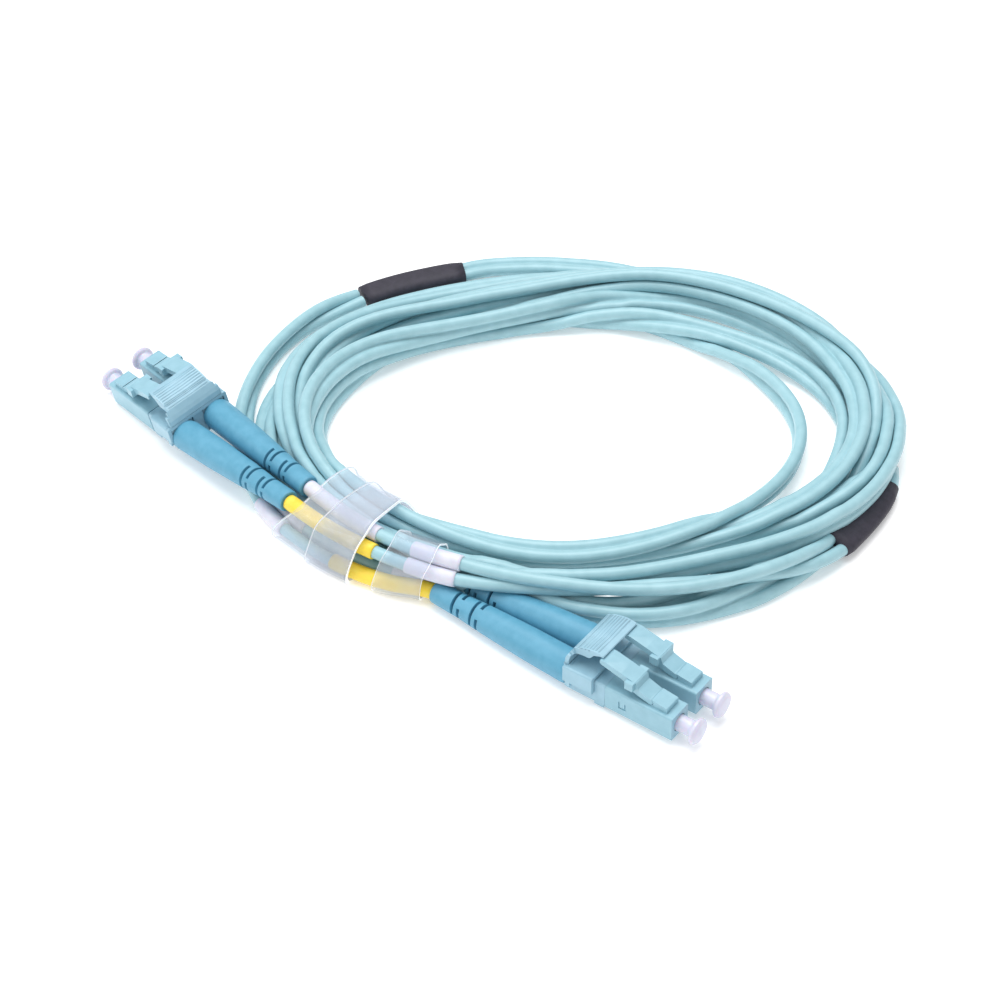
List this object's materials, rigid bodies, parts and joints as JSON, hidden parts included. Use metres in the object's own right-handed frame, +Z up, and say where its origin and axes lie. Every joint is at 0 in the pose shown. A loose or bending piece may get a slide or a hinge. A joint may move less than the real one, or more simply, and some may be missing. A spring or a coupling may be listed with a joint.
{
  "type": "fiber optic patch cord",
  "caption": "Duplex fiber optic patch cord coiled and held by clear film wraps, with latching duplex plugs, long strain relief boots, split legs, coloured sleeves and push-on dust caps.",
  "frame": {"origin": "middle of the underside of the box round the whole coiled cord, on the surface it lies on", "axes": "+Z up; +X to the right of a viewer who has connector 1 in front, +Y away from that viewer across the coil"},
  "size_m": [0.1294, 0.1155, 0.0113],
  "materials": {
    "aqua_plastic": "satin moulded plastic",
    "clip_plastic": "satin moulded plastic",
    "boot_plastic": "soft moulded plastic",
    "cap_plastic": "slightly translucent moulded plastic",
    "jacket": "smooth extruded jacket",
    "shrink_black": "matte shrink tube",
    "sleeve_yellow": "satin sleeve",
    "sleeve_white": "satin sleeve",
    "marker_white": "satin marker",
    "film_clear": "clear soft film",
    "zirconia": "polished ceramic",
    "nickel": "nickel plated",
    "spring_steel": "drawn wire"
  },
  "bodies": {
    "root": {"plug_housing_1a": "aqua_plastic", "plug_housing_1b": "aqua_plastic", "plug_housing_2a": "aqua_plastic", "plug_housing_2b": "aqua_plastic", "rear_housing_1a": "clip_plastic", "rear_housing_1b": "clip_plastic", "rear_housing_2a": "clip_plastic", "rear_housing_2b": "clip_plastic", "spring_1a": "spring_steel", "spring_1b": "spring_steel", "spring_2a": "spring_steel", "spring_2b": "spring_steel", "crimp_body_1a": "nickel", "crimp_body_1b": "nickel", "crimp_body_2a": "nickel", "crimp_body_2b": "nickel", "crimp_sleeve_1a": "nickel", "crimp_sleeve_1b": "nickel", "crimp_sleeve_2a": "nickel", "crimp_sleeve_2b": "nickel", "boot_1a": "boot_plastic", "boot_1b": "boot_plastic", "boot_2a": "boot_plastic", "boot_2b": "boot_plastic", "duplex_clip_1": "clip_plastic", "duplex_clip_2": "clip_plastic", "leg_1a": "jacket", "leg_1b": "jacket", "leg_2a": "jacket", "leg_2b": "jacket", "cord_coil": "jacket", "shrink_tube_1": "shrink_black", "shrink_tube_2": "shrink_black", "id_sleeves_yellow": "sleeve_yellow", "id_sleeves_white": "sleeve_white", "leg_markers": "marker_white", "film_wrap_wide": "film_clear", "film_wrap_narrow": "film_clear"},
    "latch_arm_1a": {"latch_1a": "aqua_plastic"},
    "ferrule_unit_1a": {"ferrule_1a": "zirconia", "flange_1a": "nickel"},
    "cap_1a": {"dust_cap_1a": "cap_plastic"},
    "latch_arm_1b": {"latch_1b": "aqua_plastic"},
    "ferrule_unit_1b": {"ferrule_1b": "zirconia", "flange_1b": "nickel"},
    "cap_1b": {"dust_cap_1b": "cap_plastic"},
    "latch_arm_2a": {"latch_2a": "aqua_plastic"},
    "ferrule_unit_2a": {"ferrule_2a": "zirconia", "flange_2a": "nickel"},
    "cap_2a": {"dust_cap_2a": "cap_plastic"},
    "latch_arm_2b": {"latch_2b": "aqua_plastic"},
    "ferrule_unit_2b": {"ferrule_2b": "zirconia", "flange_2b": "nickel"},
    "cap_2b": {"dust_cap_2b": "cap_plastic"},
    "trigger_lever_1": {"trigger_1": "clip_plastic"},
    "trigger_lever_2": {"trigger_2": "clip_plastic"}
  },
  "joints": [
    {"name": "cap_pull_1a", "type": "slide", "parent": "root", "child": "cap_1a", "axis": [0.8037, -0.5947, 0.0175], "range_m": [0, 0.008]},
    {"name": "ferrule_push_1a", "type": "slide", "parent": "root", "child": "ferrule_unit_1a", "axis": [-0.8037, 0.5947, -0.0175], "range_m": [0, 0.0012], "stiffness_N_per_m": 1000, "springref_m": -0.005, "deforming": ["spring_1a"]},
    {"name": "cap_pull_1b", "type": "slide", "parent": "root", "child": "cap_1b", "axis": [0.8037, -0.5947, 0.0175], "range_m": [0, 0.008]},
    {"name": "ferrule_push_1b", "type": "slide", "parent": "root", "child": "ferrule_unit_1b", "axis": [-0.8037, 0.5947, -0.0175], "range_m": [0, 0.0012], "stiffness_N_per_m": 1000, "springref_m": -0.005, "deforming": ["spring_1b"]},
    {"name": "cap_pull_2a", "type": "slide", "parent": "root", "child": "cap_2a", "axis": [-0.6545, 0.7529, -0.0698], "range_m": [0, 0.008]},
    {"name": "ferrule_push_2a", "type": "slide", "parent": "root", "child": "ferrule_unit_2a", "axis": [0.6545, -0.7529, 0.0698], "range_m": [0, 0.0012], "stiffness_N_per_m": 1000, "springref_m": -0.005, "deforming": ["spring_2a"]},
    {"name": "cap_pull_2b", "type": "slide", "parent": "root", "child": "cap_2b", "axis": [-0.6545, 0.7529, -0.0698], "range_m": [0, 0.008]},
    {"name": "ferrule_push_2b", "type": "slide", "parent": "root", "child": "ferrule_unit_2b", "axis": [0.6545, -0.7529, 0.0698], "range_m": [0, 0.0012], "stiffness_N_per_m": 1000, "springref_m": -0.005, "deforming": ["spring_2b"]},
    {"name": "trigger_press_1", "type": "hinge", "parent": "root", "child": "trigger_lever_1", "pos_m": [0.01328, -0.04111, 0.00564], "axis": [0.5948, 0.8039, 0], "range_deg": [0, 10], "stiffness_Nm_per_rad": 0.02, "springref_deg": -2.86},
    {"name": "latch_flex_1a", "type": "hinge", "parent": "root", "child": "latch_arm_1a", "pos_m": [0.02244, -0.05177, 0.00568], "axis": [-0.5948, -0.8039, 0], "range_deg": [0, 7.5]},
    {"name": "latch_flex_1b", "type": "hinge", "parent": "root", "child": "latch_arm_1b", "pos_m": [0.02616, -0.04675, 0.00568], "axis": [-0.5948, -0.8039, 0], "range_deg": [0, 7.5]},
    {"name": "trigger_press_2", "type": "hinge", "parent": "root", "child": "trigger_lever_2", "pos_m": [-0.04761, 0.00947, 0.00721], "axis": [-0.7353, -0.6552, -0.1732], "range_deg": [0, 10], "stiffness_Nm_per_rad": 0.02, "springref_deg": -2.86},
    {"name": "latch_flex_2a", "type": "hinge", "parent": "root", "child": "latch_arm_2a", "pos_m": [-0.05424, 0.02184, 0.0066], "axis": [0.7353, 0.6552, 0.1732], "range_deg": [0, 7.5]},
    {"name": "latch_flex_2b", "type": "hinge", "parent": "root", "child": "latch_arm_2b", "pos_m": [-0.05884, 0.01775, 0.00551], "axis": [0.7353, 0.6552, 0.1732], "range_deg": [0, 7.5]}
  ],
  "couplings": [
    {"joint": "latch_flex_1a", "follows": "trigger_press_1", "ratio": 0.72},
    {"joint": "latch_flex_1b", "follows": "trigger_press_1", "ratio": 0.72},
    {"joint": "latch_flex_2a", "follows": "trigger_press_2", "ratio": 0.72},
    {"joint": "latch_flex_2b", "follows": "trigger_press_2", "ratio": 0.72}
  ]
}
